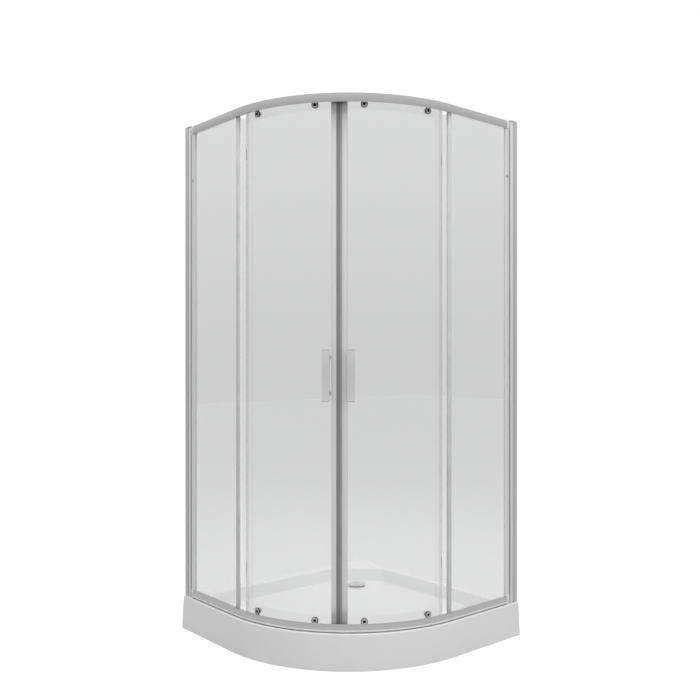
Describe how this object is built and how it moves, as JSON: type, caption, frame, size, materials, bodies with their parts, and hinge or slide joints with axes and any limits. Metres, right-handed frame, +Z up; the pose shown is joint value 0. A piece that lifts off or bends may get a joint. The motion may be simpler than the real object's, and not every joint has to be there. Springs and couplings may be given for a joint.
{
  "type": "quadrant shower enclosure",
  "caption": "Corner shower enclosure with a quadrant tray, fixed side glass and curved sliding glass doors on rollers between bent aluminium rails, with flat pull handles and a trapped waste.",
  "frame": {"origin": "middle of the square footprint, at floor level", "axes": "+Z up; the room's walls are at -X and +Y; the round front faces +X and -Y"},
  "size_m": [0.9, 0.9, 1.9],
  "materials": {
    "tray_acrylic": "white acrylic, high gloss",
    "board": "sealed chipboard, matt",
    "zinc_steel": "zinc-plated steel, satin",
    "rail_aluminium": "bright anodised aluminium, satin-gloss",
    "stile_aluminium": "satin anodised aluminium",
    "grey_moulding": "light grey moulded plastic, semi-gloss",
    "black_rubber": "black rubber, matt",
    "drain_chrome": "polished chrome",
    "trap_plastic": "white polypropylene, matt",
    "clear_glass": "clear toughened safety glass",
    "glazing_rubber": "grey glazing rubber, matt",
    "seal_plastic": "smoky translucent flexible plastic",
    "handle_chrome": "polished chrome",
    "wheel_nylon": "white nylon"
  },
  "bodies": {
    "enclosure": {"tray_shell": "tray_acrylic", "tray_base_board": "board", "tray_feet": "zinc_steel", "tray_foot_nuts": "zinc_steel", "top_rail": "rail_aluminium", "bottom_rail": "rail_aluminium", "top_rail_ends": "grey_moulding", "bottom_rail_ends": "grey_moulding", "rail_end_screws": "zinc_steel", "stile_screws": "zinc_steel", "glass_clamp_screws": "zinc_steel", "door_stops": "black_rubber", "drain_flange": "drain_chrome", "drain_cup": "trap_plastic", "drain_cover": "drain_chrome", "trap_gasket": "black_rubber", "trap_body": "trap_plastic", "trap_outlet_nut": "trap_plastic", "left_wall_profile": "stile_aluminium", "right_wall_profile": "stile_aluminium", "left_profile_cap": "grey_moulding", "right_profile_cap": "grey_moulding", "left_side_stile": "stile_aluminium", "right_side_stile": "stile_aluminium", "left_glass_stile": "stile_aluminium", "right_glass_stile": "stile_aluminium", "left_fixed_glass": "clear_glass", "right_fixed_glass": "clear_glass", "left_glazing_strips": "glazing_rubber", "right_glazing_strips": "glazing_rubber", "left_fixed_edge_strip": "glazing_rubber", "right_fixed_edge_strip": "glazing_rubber"},
    "left_door": {"left_door_glass": "clear_glass", "left_closing_stile": "stile_aluminium", "left_magnet_strip": "seal_plastic", "left_tail_seal": "seal_plastic", "left_handle": "handle_chrome", "left_handle_fixings": "handle_chrome", "left_roller_plates": "handle_chrome", "left_roller_bolts": "zinc_steel", "left_roller_washers": "seal_plastic", "left_roller_caps": "handle_chrome"},
    "left_rear_top_wheel": {"left_rear_top_wheel": "wheel_nylon"},
    "left_front_top_wheel": {"left_front_top_wheel": "wheel_nylon"},
    "left_rear_bottom_wheel": {"left_rear_bottom_wheel": "wheel_nylon"},
    "left_front_bottom_wheel": {"left_front_bottom_wheel": "wheel_nylon"},
    "right_door": {"right_door_glass": "clear_glass", "right_closing_stile": "stile_aluminium", "right_magnet_strip": "seal_plastic", "right_tail_seal": "seal_plastic", "right_handle": "handle_chrome", "right_handle_fixings": "handle_chrome", "right_roller_plates": "handle_chrome", "right_roller_bolts": "zinc_steel", "right_roller_washers": "seal_plastic", "right_roller_caps": "handle_chrome"},
    "right_rear_top_wheel": {"right_rear_top_wheel": "wheel_nylon"},
    "right_front_top_wheel": {"right_front_top_wheel": "wheel_nylon"},
    "right_rear_bottom_wheel": {"right_rear_bottom_wheel": "wheel_nylon"},
    "right_front_bottom_wheel": {"right_front_bottom_wheel": "wheel_nylon"}
  },
  "joints": [
    {"name": "left_door_run", "type": "hinge", "parent": "enclosure", "child": "left_door", "pos_m": [-0.15538, 0.235, 1], "axis": [0, 0, -1], "range_deg": [0, 20.36]},
    {"name": "right_door_run", "type": "hinge", "parent": "enclosure", "child": "right_door", "pos_m": [-0.235, 0.15538, 1], "axis": [0, 0, 1], "range_deg": [0, 20.36]},
    {"name": "left_rear_top_wheel_spin", "type": "hinge", "parent": "left_door", "child": "left_rear_top_wheel", "pos_m": [-0.025, -0.40183, 1.8844], "axis": [0.1478, -0.989, 0], "range_deg": [0, 1743]},
    {"name": "left_front_top_wheel_spin", "type": "hinge", "parent": "left_door", "child": "left_front_top_wheel", "pos_m": [0.19393, -0.3136, 1.8844], "axis": [0.5793, -0.8151, 0], "range_deg": [0, 1744]},
    {"name": "left_rear_bottom_wheel_spin", "type": "hinge", "parent": "left_door", "child": "left_rear_bottom_wheel", "pos_m": [-0.025, -0.40183, 0.1306], "axis": [-0.1478, 0.989, 0], "range_deg": [0, 1743]},
    {"name": "left_front_bottom_wheel_spin", "type": "hinge", "parent": "left_door", "child": "left_front_bottom_wheel", "pos_m": [0.19393, -0.3136, 0.1306], "axis": [-0.5793, 0.8151, 0], "range_deg": [0, 1744]},
    {"name": "right_rear_top_wheel_spin", "type": "hinge", "parent": "right_door", "child": "right_rear_top_wheel", "pos_m": [0.40183, 0.025, 1.8844], "axis": [-0.989, 0.1478, 0], "range_deg": [0, 1743]},
    {"name": "right_front_top_wheel_spin", "type": "hinge", "parent": "right_door", "child": "right_front_top_wheel", "pos_m": [0.3136, -0.19393, 1.8844], "axis": [-0.8151, 0.5793, 0], "range_deg": [0, 1744]},
    {"name": "right_rear_bottom_wheel_spin", "type": "hinge", "parent": "right_door", "child": "right_rear_bottom_wheel", "pos_m": [0.40183, 0.025, 0.1306], "axis": [0.989, -0.1478, 0], "range_deg": [0, 1743]},
    {"name": "right_front_bottom_wheel_spin", "type": "hinge", "parent": "right_door", "child": "right_front_bottom_wheel", "pos_m": [0.3136, -0.19393, 0.1306], "axis": [0.8151, -0.5793, 0], "range_deg": [0, 1744]}
  ],
  "couplings": [
    {"joint": "left_rear_top_wheel_spin", "follows": "left_door_run", "ratio": 85.531},
    {"joint": "left_front_top_wheel_spin", "follows": "left_door_run", "ratio": 85.574},
    {"joint": "left_rear_bottom_wheel_spin", "follows": "left_door_run", "ratio": 85.531},
    {"joint": "left_front_bottom_wheel_spin", "follows": "left_door_run", "ratio": 85.574},
    {"joint": "right_rear_top_wheel_spin", "follows": "right_door_run", "ratio": 85.531},
    {"joint": "right_front_top_wheel_spin", "follows": "right_door_run", "ratio": 85.574},
    {"joint": "right_rear_bottom_wheel_spin", "follows": "right_door_run", "ratio": 85.531},
    {"joint": "right_front_bottom_wheel_spin", "follows": "right_door_run", "ratio": 85.574}
  ]
}
